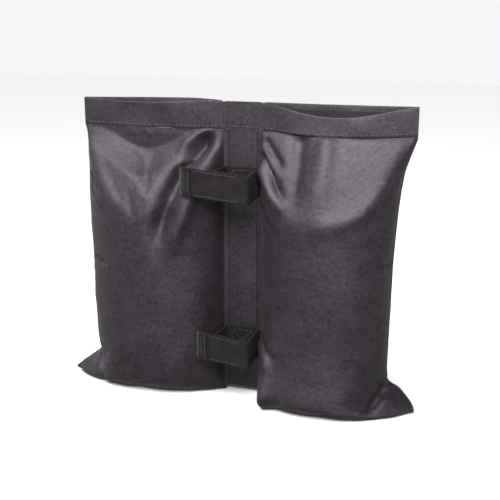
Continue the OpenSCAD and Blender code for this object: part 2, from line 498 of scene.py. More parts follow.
def rounded_section(width: float, thickness: float) -> np.ndarray:
    """Gives the outline of a flat band's cross-section, with round edges.

    Args:
        width: the band's width.
        thickness: the band's thickness.

    Returns:
        An array of (across, through) points.
    """
    r = thickness / 2
    flat = width / 2 - r
    steps = max(2, int(width / (4 * MM)))
    across = np.linspace(-flat, flat, steps + 1)
    arc = np.radians(np.linspace(-60, 60, 5))
    right = np.stack([flat + r * np.cos(arc), r * np.sin(arc)], 1)
    left = np.stack([-flat - r * np.cos(arc), -r * np.sin(arc)], 1)
    low = np.stack([across, np.full_like(across, -r)], 1)
    high = np.stack([across[::-1], np.full_like(across, r)], 1)
    return np.concatenate([low, right, high, left])


def tube_faces(rings: int, count: int) -> list[tuple[int, ...]]:
    """Gives the faces of a tube that is closed at both ends.

    Args:
        rings: how many rings of points it has.
        count: how many points are in a ring.

    Returns:
        The faces, as tuples of point numbers.
    """
    faces = []
    for ring in range(rings - 1):
        a, b = ring * count, (ring + 1) * count
        faces += [(a + k, a + (k + 1) % count, b + (k + 1) % count, b + k) for k in range(count)]
    faces.append(tuple(range(count)))
    faces.append(tuple(range((rings - 1) * count, rings * count)))
    return faces


def sweep(name: str, path: np.ndarray, across: np.ndarray, through: np.ndarray, width: float,
          thickness: float, material: bpy.types.Material) -> bpy.types.Object:
    """Draws a flat band along a path.

    Args:
        name: the piece's name.
        path: the band's middle line.
        across: at each point, the direction of the band's width.
        through: at each point, the direction of its thickness.
        width: the band's width.
        thickness: the band's thickness.
        material: its finish.

    Returns:
        The new object, closed at both ends.
    """
    section = rounded_section(width, thickness)
    count = len(section)
    along = np.concatenate([[0], np.cumsum(np.linalg.norm(np.diff(path, axis=0), axis=1))])
    points = path[:, None] + section[None, :, :1] * across[:, None] + section[None, :, 1:] * through[:, None]
    uvs = np.stack([np.repeat(along, count), np.tile(section[:, 0], len(path))], 1)
    piece = mesh_piece(name, points.reshape(-1, 3), tube_faces(len(path), count), material, uvs)
    outward(piece)
    return piece


def stitches(name: str, runs: list[tuple[np.ndarray, np.ndarray]], material: bpy.types.Material,
             length: float, pitch: float, radius: float = 0.42 * MM) -> bpy.types.Object:
    """Sews rows of stitches.

    Args:
        name: the piece's name.
        runs: for each row, its points and the face's outward direction at each point.
        material: the thread.
        length: one stitch's length.
        pitch: distance from one stitch to the next.
        radius: the thread's radius.

    Returns:
        One object that holds every stitch as a separate closed solid.
    """
    sides, sunk = 6, 0.75
    swell = (0.35, 0.85, 1.0, 0.85, 0.35)
    points, uvs, faces = [], [], []
    for line, normals in runs:
        reach = np.concatenate([[0], np.cumsum(np.linalg.norm(np.diff(line, axis=0), axis=1))])
        count = max(1, int(reach[-1] / pitch))
        first = (reach[-1] - count * pitch) / 2 + (pitch - length) / 2
        for k in range(count):
            where = first + k * pitch + np.linspace(0, length, len(swell))
            middle = np.stack([np.interp(where, reach, line[:, a]) for a in range(3)], 1)
            up = np.stack([np.interp(where, reach, normals[:, a]) for a in range(3)], 1)
            up /= np.linalg.norm(up, axis=1)[:, None]
            ahead = np.gradient(middle, axis=0)
            ahead /= np.linalg.norm(ahead, axis=1)[:, None]
            beside = np.cross(ahead, up)
            base = len(points)
            for ring, size in enumerate(swell):
                sink = (size - sunk) * radius
                for turn in range(sides):
                    angle = math.tau * turn / sides
                    offset = size * radius * (math.cos(angle) * beside[ring] + math.sin(angle) * up[ring])
                    points.append(middle[ring] + sink * up[ring] + offset)
                    uvs.append((where[ring], radius * angle))
            last = base + (len(swell) - 1) * sides
            faces += [(base + r * sides + t, base + r * sides + (t + 1) % sides,
                       base + (r + 1) * sides + (t + 1) % sides, base + (r + 1) * sides + t)
                      for r in range(len(swell) - 1) for t in range(sides)]
            faces.append(tuple(range(base + sides - 1, base - 1, -1)))
            faces.append(tuple(range(last, last + sides)))
    piece = mesh_piece(name, np.array(points), faces, material, np.array(uvs))
    outward(piece)
    return piece


# ---------------------------------------------------------------- the bag's measures


@dataclass(frozen=True)
class Measures:
    """Places that every sub-assembly shares, read from the fixed frame."""

    fold_x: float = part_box("right_front_wall")[0][0]
    half_depth: float = -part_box("right_front_wall")[0][1]
    hem_z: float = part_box("right_back_hem")[0][2]
    back_top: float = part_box("right_back_hem")[1][2]
    front_top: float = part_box("right_front_hem")[1][2]
    hem_out_x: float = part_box("right_back_hem")[1][0]
    hem_front: float = -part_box("right_front_hem")[0][1]
    hem_back: float = -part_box("right_front_hem")[1][1]
    web_half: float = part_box("web_front_cloth")[1][0]
    web_low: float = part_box("web_front_cloth")[0][2]
    cloth: float = 1.2 * MM

    @property
    def hem_t(self) -> float:
        """The thickness of a hem band."""
        return self.hem_front - self.hem_back

    @property
    def mouth_x(self) -> float:
        """The side seam's place at the mouth."""
        return self.hem_out_x + self.hem_t


@dataclass(frozen=True)
class Crease:
    """A fold in a pocket's wall: a ridge if its height is positive, a groove if it is negative.

    Its path is given in millimetres, as (distance out from the fold line, height above the floor).
    """

    path: tuple[tuple[float, float], ...]
    height: float
    width: float
    crisp: float = 2.0

    def lift(self, out: np.ndarray, z: np.ndarray) -> np.ndarray:
        """Gives how far the fold raises the cloth.

        Args:
            out: each point's distance out from the fold line.
            z: each point's height.

        Returns:
            The rise at each point.
        """
        spots = np.array(self.path) * MM
        lengths = np.linalg.norm(np.diff(spots, axis=0), axis=1)
        nearest, share = np.full_like(z, 1e9), np.zeros_like(z)
        gone = 0.0
        for (ax, az), (bx, bz), length in zip(spots, spots[1:], lengths):
            along = np.clip(((out - ax) * (bx - ax) + (z - az) * (bz - az)) / length ** 2, 0, 1)
            away = np.hypot(out - ax - along * (bx - ax), z - az - along * (bz - az))
            closer = away < nearest
            share = np.where(closer, (gone + along * length) / lengths.sum(), share)
            nearest = np.minimum(nearest, away)
            gone += length
        fade = np.clip(share / 0.12, 0, 1) * np.clip((1 - share) / 0.4, 0, 1)
        fade = fade * fade * (3 - 2 * fade)
        width = self.width * MM * (0.75 + 0.5 * share)
        return self.height * MM * fade * np.exp(-(nearest / width) ** self.crisp)


# ---------------------------------------------------------------- pockets


@dataclass
class Pocket:
    """One sand pocket: a filled cloth skin from the bottom seam to the hem, with its sand inside."""

    side: Side
    measures: Measures
    finishes: Finishes
    seam_profile: tuple[tuple[float, float], ...]
    corner_lift: float = 2 * MM
    belly_z: float = 75 * MM
    fill_z: float = 262 * MM
    brow: float = 0.0
    slope: float = 1.0
    rounding: int = 6
    foot: float = 1.0
    squat: float = 0.1
    swell: float = 0.0
    bolster: float = 0.0
    ear_tilt: float = 32 * MM
    hem_arc: float = 0.0
    bow: float = 6 * MM
    sag: float = 3 * MM
    creases: tuple[Crease, ...] = ()
    back_creases: tuple[Crease, ...] = ()
    seed: float = 0.0
    cells_across: int = 42
    foot_cells: int = 22
    side_cells: int = 60
    frames: int = 24
    pressure: float = 22.0
    reach: float = 11 * MM
    grid: dict[Face, np.ndarray] = field(default_factory=dict)

    @property
    def inner(self) -> float:
        """Depth of half the pocket, to the middle of the cloth."""
        return self.measures.half_depth - self.measures.cloth

    def mouth_line(self, u: np.ndarray, face: Face) -> tuple[np.ndarray, np.ndarray]:
        """Gives the line where the wall meets its hem.

        Args:
            u: shares of the way across the pocket.
            face: which wall.

        Returns:
            How far the line stands out from the middle, and how far it hangs under the hem's height.
        """
        arch = np.sin(math.pi * np.clip(u, 0, 1)) ** 1.2
        if face is Face.BACK:
            return self.measures.hem_back + self.measures.hem_t / 2 + 0.15 * self.bow * arch, 0 * u
        return self.measures.hem_back + self.measures.hem_t / 2 + self.bow * arch, self.sag * arch

    def seam_x(self, z: np.ndarray) -> np.ndarray:
        """Gives how far out the side seam runs at each height."""
        heights, places = np.array(self.seam_profile).T * MM
        return np.interp(z, heights, places)

    def start_shape(self, face: Face) -> np.ndarray:
        """Gives the filled shape that the cloth starts from.

        Args:
            face: which wall.

        Returns:
            An array of rows from the foot's middle up to the hem, each with points from the fold line out.
        """
        m = self.measures
        crowding, even = 1.5, 0.65
        ease_in, brow_middle, brow_width = 2.5, 0.54, 0.2
        flatness, fullness, dip_power = 2.3, 0.75, 8
        angles = (1 - (1 - np.linspace(0, 1, self.foot_cells + 1)) ** crowding) * math.pi / 2
        foot_z = self.belly_z * (1 - np.cos(angles) ** 0.5)
        foot_d = np.sin(angles) ** 0.5
        up = np.linspace(self.belly_z, m.hem_z, self.side_cells + 1)[1:]
        u = (1 - np.cos(math.pi * np.linspace(0, 1, self.cells_across + 1))) / 2
        u = even * np.linspace(0, 1, self.cells_across + 1) + (1 - even) * u
        z = np.concatenate([foot_z, up])[:, None] + 0 * u[None]
        rise = (m.hem_z - self.fill_z) * 0.85 * np.abs(2 * u - 1) ** ease_in
        brow = self.brow * np.exp(-((u - brow_middle) / brow_width) ** 2)
        share = np.clip((up[:, None] - self.fill_z - rise) / (m.hem_z - brow - self.fill_z - rise), 0, 1)
        full = np.concatenate([foot_d[:, None] + 0 * u[None], 1 - share ** self.slope])
        for _ in range(self.rounding):
            full[1:-1] = (full[:-2] + 2 * full[1:-1] + full[2:]) / 4
        across = np.maximum(0, 1 - np.abs(2 * u - 1) ** flatness) ** fullness
        out, hang = self.mouth_line(u, face)
        top = np.where(z > self.fill_z, 1 - full, 0)
        depth = self.inner * across[None] * full + out[None] * top
        x = m.fold_x + (self.seam_x(z) - m.fold_x) * u[None]
        edge = np.clip((u[None] - 0.8) / 0.2, 0, 1) ** 2
        z = z + self.corner_lift * edge * (1 - z / m.hem_z) - hang[None] * (z / m.hem_z) ** dip_power
        y = face.value * depth
        return np.stack([x, y, z + m.cloth], -1) - np.array([0, 0, m.cloth]) * (z / m.hem_z)[..., None]

    def fill(self) -> None:
        """Fills the cloth: it is cut flat, pinned at the web and the hem, and pushed out by the sand."""
        shapes = {face: self.start_shape(face) for face in Face}
        rows, columns = shapes[Face.FRONT].shape[:2]
        index: dict[tuple[int, int, int], int] = {}
        points, cut = [], []
        middle = shapes[Face.FRONT][:, columns // 2]
        long_way = np.concatenate([[0], np.cumsum(np.linalg.norm(np.diff(middle, axis=0), axis=1))])
        belly = shapes[Face.FRONT][self.foot_cells + self.side_cells // 4]
        cross_way = np.linalg.norm(np.diff(belly, axis=0), axis=1).sum()
        slack_up, slack_across = 0.97, 0.985
        unevenness, full_at, clear_of_hem = 2.2 * MM, 12 * MM, 5 * MM
        for face in Face:
            for j in range(rows):
                for i in range(columns):
                    key = self.key(i, j, face, rows, columns)
                    if key in index:
                        continue
                    index[key] = len(points)
                    place = shapes[face][j, i].copy()
                    if key[2] == 0:
                        place[1] = 0
                    points.append(place)
                    cut.append((cross_way * slack_across * i / (columns - 1), 0, long_way[j] * slack_up))
        points = np.array(points)
        for k, p in enumerate(points):
            wander = noise.noise(Vector((p[0] * 14 + self.seed, p[1] * 14, p[2] * 11)))
            if 0 < p[2] < self.measures.hem_z - clear_of_hem:
                points[k, 1] += unevenness * wander * min(1, abs(p[1]) / full_at)
        faces = self.wall_faces(index, rows, columns)
        settled = self.settle(points, faces, cut, index, rows)
        for face in Face:
            self.grid[face] = np.array([[settled[index[self.key(i, j, face, rows, columns)]]
                                         for i in range(columns)] for j in range(rows)])

    @staticmethod
    def key(i: int, j: int, face: Face, rows: int, columns: int) -> tuple[int, int, int]:
        """Gives a grid point's key, the same on both walls where they are sewn together."""
        sewn = i == columns - 1 and j < rows - 1 or j == 0
        return (i, j, 0 if sewn else face.value)

    def wall_faces(self, index: dict[tuple[int, int, int], int], rows: int,
                   columns: int) -> list[tuple[int, ...]]:
        """Gives both walls' faces, turned outward on the right-hand pocket.

        Args:
            index: the vertex of each grid key.
            rows: grid rows.
            columns: grid columns.

        Returns:
            The faces, as tuples of vertex numbers.
        """
        faces = []
        for face in Face:
            for j in range(rows - 1):
                for i in range(columns - 1):
                    ring = [(i, j), (i + 1, j), (i + 1, j + 1), (i, j + 1)]
                    ids = [index[self.key(a, b, face, rows, columns)] for a, b in ring]
                    faces.append(tuple(ids if face is Face.FRONT else reversed(ids)))
        return faces

    def settle(self, points: np.ndarray, faces: list[tuple[int, ...]], cut: list[Point],
               index: dict[tuple[int, int, int], int], rows: int) -> np.ndarray:
        """Runs the cloth until it has settled round the sand.

        Args:
            points: the starting vertices.
            faces: the cloth's faces.
            cut: where each vertex lies on the flat cloth.
            index: the vertex of each grid key.
            rows: grid rows.

        Returns:
            The settled vertices, none of them far from its start.
        """
        surface_band, surface_fade, least_push = 25 * MM, 60 * MM, 0.12
        mesh = bpy.data.meshes.new("settling")
        mesh.from_pydata([tuple(p) for p in points], [], faces)
        cloth = bpy.data.objects.new("settling", mesh)
        bpy.context.scene.collection.objects.link(cloth)
        cloth.shape_key_add(name="filled")
        flat = cloth.shape_key_add(name="flat")
        for k, place in enumerate(cut):
            flat.data[k].co = place
        flat.value = 0
        held = cloth.vertex_groups.new(name="held")
        held.add([v for (i, j, _), v in index.items() if i == 0 or j == rows - 1], 1.0, "REPLACE")
        pushed = cloth.vertex_groups.new(name="pushed")
        low = self.fill_z - surface_band
        for k, p in enumerate(points):
            pushed.add([k], float(np.clip(1 - (p[2] - low) / surface_fade, least_push, 1)), "REPLACE")
        modifier = cloth.modifiers.new("cloth", "CLOTH")
        set_up = modifier.settings
        set_up.rest_shape_key = flat
        set_up.vertex_group_mass = "held"
        set_up.vertex_group_pressure = "pushed"
        set_up.quality = 7
        set_up.mass = 0.002
        set_up.tension_stiffness = set_up.compression_stiffness = 60
        set_up.shear_stiffness = 14
        set_up.bending_stiffness = 0.08
        set_up.tension_damping = set_up.compression_damping = set_up.shear_damping = 20
        set_up.use_pressure = True
        set_up.uniform_pressure_force = self.pressure
        set_up.effector_weights.gravity = 0
        modifier.collision_settings.use_collision = False
        modifier.point_cache.frame_start, modifier.point_cache.frame_end = 1, self.frames
        for step in range(1, self.frames + 1):
            bpy.context.scene.frame_set(step)
        seen = cloth.evaluated_get(bpy.context.evaluated_depsgraph_get()).data
        settled = np.empty(len(points) * 3)
        seen.vertices.foreach_get("co", settled)
        settled = settled.reshape(-1, 3)
        bpy.data.objects.remove(cloth)
        bpy.context.scene.frame_set(1)
        moved = settled - points
        far = np.linalg.norm(moved, axis=1)
        log.info("%s cloth moved %.1f mm at most", self.side.word, far.max() / MM)
        return points + moved * np.minimum(1, self.reach / np.maximum(far, 1e-9))[:, None]

    def shape_foot(self, wall: np.ndarray) -> None:
        """Draws the seam back to its profile and spreads the foot on the floor.

        Args:
            wall: one wall's grid, changed in place.
        """
        m = self.measures
        foot_z, foot_run = 15 * MM, 45 * MM
        ear_inside, ear_run, ear_top, ear_full, ear_pivot = 16 * MM, 34 * MM, 30 * MM, 36 * MM, 32 * MM
        beside_out, beside_run, beside_z = 14 * MM, 20 * MM, 70 * MM
        swell_out, swell_depth, low_z = 130 * MM, 60 * MM, 90 * MM
        bulge_start, bulge_run = 22 * MM, 25 * MM
        seam = wall[:, -1]
        stretch = (self.seam_x(seam[:, 2]) - m.fold_x) / (seam[:, 0] - m.fold_x)
        for _ in range(2):
            stretch[1:-1] = (stretch[:-2] + 2 * stretch[1:-1] + stretch[2:]) / 4
        wall[..., 0] = m.fold_x + (wall[..., 0] - m.fold_x) * stretch[:, None]
        z = np.maximum(wall[..., 2], 0)
        wall[..., 1] *= 1 + (self.foot - 1) * np.exp(-((z - foot_z) / foot_run) ** 2)
        out = wall[..., 0] - m.fold_x
        root = min(place for _, place in self.seam_profile) * MM
        ear = np.clip((wall[..., 0] - root + ear_inside) / ear_run, 0, 1) * np.clip(2 - z / ear_top, 0, 1)
        wall[..., 1] += self.ear_tilt * ear * (np.minimum(z, ear_full) / ear_pivot - 0.35)
        beside = np.exp(-((out - beside_out) / beside_run) ** 2) * np.exp(-(z / beside_z) ** 2)
        wall[..., 1] *= 1 + self.bolster * beside
        toward_leg = np.sin(math.pi * np.clip(out / swell_out, 0, 1))
        toward_leg = toward_leg * (np.abs(wall[..., 1]) / swell_depth) ** 2
        wall[..., 0] -= self.swell * np.exp(-(z / low_z) ** 2) * toward_leg
        bulging = np.clip((np.abs(wall[..., 1]) - bulge_start) / bulge_run, 0, 1)
        wall[..., 2] -= self.squat * z * np.clip(1 - z / low_z, 0, 1) * bulging

    @staticmethod
    def finer(wall: np.ndarray) -> np.ndarray:
        """Makes a grid with twice the points each way, on smooth curves through the old ones.

        Args:
            wall: one wall's grid.

        Returns:
            The finer grid.
        """
        for _ in range(2):
            between = (wall[:-1] + wall[1:]) / 2
            between[1:-1] = (9 * (wall[1:-2] + wall[2:-1]) - wall[:-3] - wall[3:]) / 16
            made = np.empty((len(wall) * 2 - 1, *wall.shape[1:]))
            made[::2], made[1::2] = wall, between
            wall = made.swapaxes(0, 1)
        return wall

    def puckers(self, wall: np.ndarray) -> np.ndarray:
        """Gives the small waves next to the seams and the slow waves over the whole wall.

        Args:
            wall: one wall's grid.

        Returns:
            How far each point rises.
        """
        slow_height, fine_height, overall = 1.3 * MM, 0.9 * MM, 0.12 * MM
        hem_reach, seam_reach = 9 * MM, 0.05
        z = wall[..., 2]
        slow, fine = np.empty_like(z), np.empty_like(z)
        for spot, (x, y, h) in enumerate(wall.reshape(-1, 3)):
            place = Vector((x * 16 + self.seed, y * 16, h * 12))
            slow.flat[spot] = noise.noise(place) + 0.45 * noise.noise(place * 2.7)
            fine.flat[spot] = noise.noise(Vector((x * 85, self.seed + y * 20, h * 85)))
        columns = wall.shape[1]
        near_hem = np.exp(-np.maximum(self.measures.hem_z - z, 0) / hem_reach)
        share = np.arange(columns) / (columns - 1)
        near_seam = np.exp(-(1 - share[None]) / seam_reach) + np.exp(-share[None] / seam_reach)
        return slow_height * slow + fine_height * fine * np.minimum(near_hem + near_seam, 1) + overall * fine

    def hollow_brow(self, wall: np.ndarray) -> None:
        """Lets the front wall hang flat under its hem, down to where the sand starts to push it out.

        Args:
            wall: the front wall's grid, changed in place.
        """
        middle, width, over_hem, run, steepness = 0.54, 0.25, 4 * MM, 32 * MM, 0.7
        u = np.linspace(0, 1, wall.shape[1])
        line = self.mouth_line(u, Face.FRONT)[0][None]
        start = self.measures.hem_z + over_hem - self.brow * np.exp(-((u - middle) / width) ** 2)
        share = np.clip((start[None] - wall[..., 2]) / run, 0, 1) ** steepness
        wall[..., 1] = -(line + (-wall[..., 1] - line) * share)

    def crease_walls(self) -> None:
        """Adds the folds that the straps and seams pull into the cloth, and rests the foot on the floor."""
        m = self.measures
        edge_columns, hem_fade, pinch_z, pinch_run = 4, 8 * MM, 3 * MM, 4 * MM
        pinch_depth = (-0.4 if self.brow else -1.3) * MM
        for face, creases in ((Face.FRONT, self.creases), (Face.BACK, self.back_creases)):
            self.shape_foot(self.grid[face])
            wall = self.finer(self.grid[face])
            if face is Face.FRONT and self.brow:
                self.hollow_brow(wall)
            du, dv = np.gradient(wall, axis=1), np.gradient(wall, axis=0)
            normal = np.cross(du, dv) * -face.value
            normal /= np.maximum(np.linalg.norm(normal, axis=2), 1e-9)[..., None]
            out, z = wall[..., 0] - m.fold_x, wall[..., 2]
            rise = sum((crease.lift(out, z) for crease in creases), self.puckers(wall))
            column = np.arange(wall.shape[1])
            free = np.minimum(1, column / edge_columns) * np.minimum(1, column[::-1] / edge_columns)
            below_hem = np.clip((m.hem_z - z) / hem_fade, 0, 1)
            pinch = pinch_depth * np.exp(-((m.hem_z - pinch_z - z) / pinch_run) ** 2)
            wall = wall + normal * ((rise * below_hem + pinch) * free[None])[..., None]
            wall[..., 2] = np.maximum(wall[..., 2], m.cloth)
            self.grid[face] = wall

    def seam_allowance(self, face: Face) -> np.ndarray:
        """Gives the columns of cloth that carry the wall on across the web's edge.

        Args:
            face: which wall.

        Returns:
            Grid columns from the web out, the last of them on the fold line.
        """
        m, edge_lift, layer_lift = self.measures, 0.5 * MM, 0.35 * MM
        edge = self.grid[face][:, 0].copy()
        edge[:, 1] = face.value * (m.cloth + edge_lift)
        columns = []
        for x in (m.web_half - 5 * MM, m.web_half - 1 * MM):
            column = edge.copy()
            column[:, 0] = x
            column[:, 1] = face.value * (m.cloth + layer_lift)
            column[:, 2] = np.maximum(column[:, 2], m.web_low)
            columns.append(column)
        return np.stack([*columns, edge], 1)

    def build(self) -> None:
        """Builds the skin, its side seam and the sand."""
        self.fill()
        self.crease_walls()
        self.build_skin()
        self.build_seam()
        self.build_sand()

    def build_skin(self) -> None:
        """Joins both walls into one skin with the cloth's thickness."""
        m = self.measures
        points, uvs, faces = [], [], []
        seam_ids: dict[int, int] = {}
        for face in Face:
            wall = np.concatenate([self.seam_allowance(face), self.grid[face][:, 1:]], 1)
            rows, columns = wall.shape[:2]
            gap_u, gap_v = (np.linalg.norm(np.diff(wall, axis=way), axis=2) for way in (1, 0))
            step_u = np.concatenate([np.zeros((rows, 1)), gap_u], 1).cumsum(1)
            step_v = np.concatenate([np.zeros((1, columns)), gap_v]).cumsum(0)
            ids = np.empty((rows, columns), dtype=int)
            for j in range(rows):
                for i in range(columns):
                    sewn = i == columns - 1 and j < rows - 1 or (j == 0 and i >= 2)
                    place = i if j == 0 else -j
                    if sewn and place in seam_ids:
                        ids[j, i] = seam_ids[place]
                        continue
                    ids[j, i] = len(points)
                    points.append(wall[j, i] * (self.side.value, 1, 1))
                    uvs.append((step_u[rows // 2, i] + (face.value + 1) * 0.5, step_v[j, columns // 2]))
                    if sewn:
                        seam_ids[place] = ids[j, i]
            flip = (face is Face.BACK) != (self.side is Side.LEFT)
            for j in range(rows - 1):
                for i in range(columns - 1):
                    ring = (ids[j, i], ids[j, i + 1], ids[j + 1, i + 1], ids[j + 1, i])
                    faces.append(tuple(int(v) for v in (reversed(ring) if flip else ring)))
        skin = mesh_piece(f"{self.side.word}_pocket_skin", np.array(points), faces, self.finishes.pocket,
                          np.array(uvs))
        thick = skin.modifiers.new("cloth", "SOLIDIFY")
        thick.thickness = m.cloth
        thick.offset = 0
        keep_modifiers(skin)
        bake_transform(skin)
        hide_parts(f"{self.side.word}_front_wall", f"{self.side.word}_back_wall")
        log.info("%s pocket skin: %d faces", self.side.word, len(skin.data.polygons))

    def seam_line(self) -> np.ndarray:
        """Gives the side seam from the mouth down to the bottom corner's tip and in along the foot."""
        rows = self.grid[Face.FRONT].shape[0]
        down = (self.grid[Face.FRONT][rows - 2:0:-1, -1] + self.grid[Face.BACK][rows - 2:0:-1, -1]) / 2
        foot = self.grid[Face.FRONT][0, ::-1][:16]
        return np.concatenate([down, foot]) * (self.side.value, 1, 1)

    def build_seam(self) -> None:
        """Adds the flat sewn edge that stands out along the side seam, with its row of stitches."""
        m = self.measures
        width, tuck, thickness = 5 * MM, 1.2 * MM, 2.6 * MM
        line = self.seam_line()
        ahead = np.gradient(line, axis=0)
        ahead[:, 1] = 0
        for _ in range(6):
            ahead[1:-1] = (ahead[:-2] + 2 * ahead[1:-1] + ahead[2:]) / 4
        ahead /= np.linalg.norm(ahead, axis=1)[:, None]
        out = np.cross(ahead, (0, self.side.value, 0)) * -1
        through = np.tile([0.0, 1.0, 0.0], (len(line), 1))
        middle = line + out * (width / 2 - tuck)
        middle[:, 2] = np.maximum(middle[:, 2], m.cloth + 1.2 * MM)
        edge = sweep(f"{self.side.word}_side_seam_edge", middle, out, through, width, thickness,
                     self.finishes.pocket)
        front = np.tile([0.0, -1.0, 0.0], (len(line), 1))
        sewn = line + out * 0.8 * MM
        sewn[:, 1] -= 1.4 * MM
        sewn[:, 2] = np.maximum(sewn[:, 2], 2.4 * MM)
        thread = stitches(f"{self.side.word}_side_seam_thread", [(sewn[1:], front[1:])], self.finishes.thread,
                          length=3.6 * MM, pitch=5.0 * MM, radius=0.34 * MM)
        for piece, slot in ((edge, "pocket_cloth"), (thread, "thread")):
            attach(piece, f"{self.side.word}_pocket")

    def build_sand(self) -> None:
        """Fills the skin with sand up to its level, with a lumpy top."""
        m, gap, drawn_in, least = self.measures, 3.2 * MM, 0.94, 0.4 * MM
        sand_level, mound, lumps, flat_out = 284 * MM, 9 * MM, 5 * MM, 30 * MM
        front, back = self.grid[Face.FRONT], self.grid[Face.BACK]
        picked = range(6, front.shape[1] - 8, 2)
        level = int(np.argmax(front[:, front.shape[1] // 2, 2] > sand_level))
        heights = range(10, level, 2)
        reach = min(place for _, place in self.seam_profile) * MM - 20 * MM
        points, faces = [], []
        columns = []
        for i in picked:
            loop = []
            for j in heights:
                x, y, z = front[j, i]
                loop.append((x, min(-least, y * drawn_in + gap), z + gap))
            x, y, z = loop[-1]
            far_y = back[level - 1, i][1] - gap
            for share in (0.2, 0.4, 0.6, 0.8):
                lump = mound * math.sin(math.pi * share)
                lump += lumps * noise.noise(Vector((x * 40, share * 3, self.seed)))
                loop.append((x, y + (far_y - y) * share, z + lump * min(1, abs(y) / flat_out)))
            for j in reversed(heights):
                x, y, z = back[j, i]
                loop.append((x, max(least, y * drawn_in - gap), z + gap))
            columns.append(len(points))
            points += loop
        count = len(points) // len(columns)
        for a, b in zip(columns, columns[1:]):
            faces += [(a + k, a + (k + 1) % count, b + (k + 1) % count, b + k) for k in range(count)]
        faces.append(tuple(range(columns[0], columns[0] + count)))
        faces.append(tuple(range(columns[-1], columns[-1] + count)))
        mirrored = np.array(points)
        mirrored[:, 0] = np.minimum(mirrored[:, 0], reach - (1 - mirrored[:, 0] / m.mouth_x) * 2 * MM)
        mirrored *= (self.side.value, 1, 1)
        sand = mesh_piece(f"{self.side.word}_sand_fill", mirrored, faces, self.finishes.sand)
        outward(sand)
        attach(sand, f"{self.side.word}_pocket")
        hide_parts(f"{self.side.word}_sand")


# ---------------------------------------------------------------- mouths


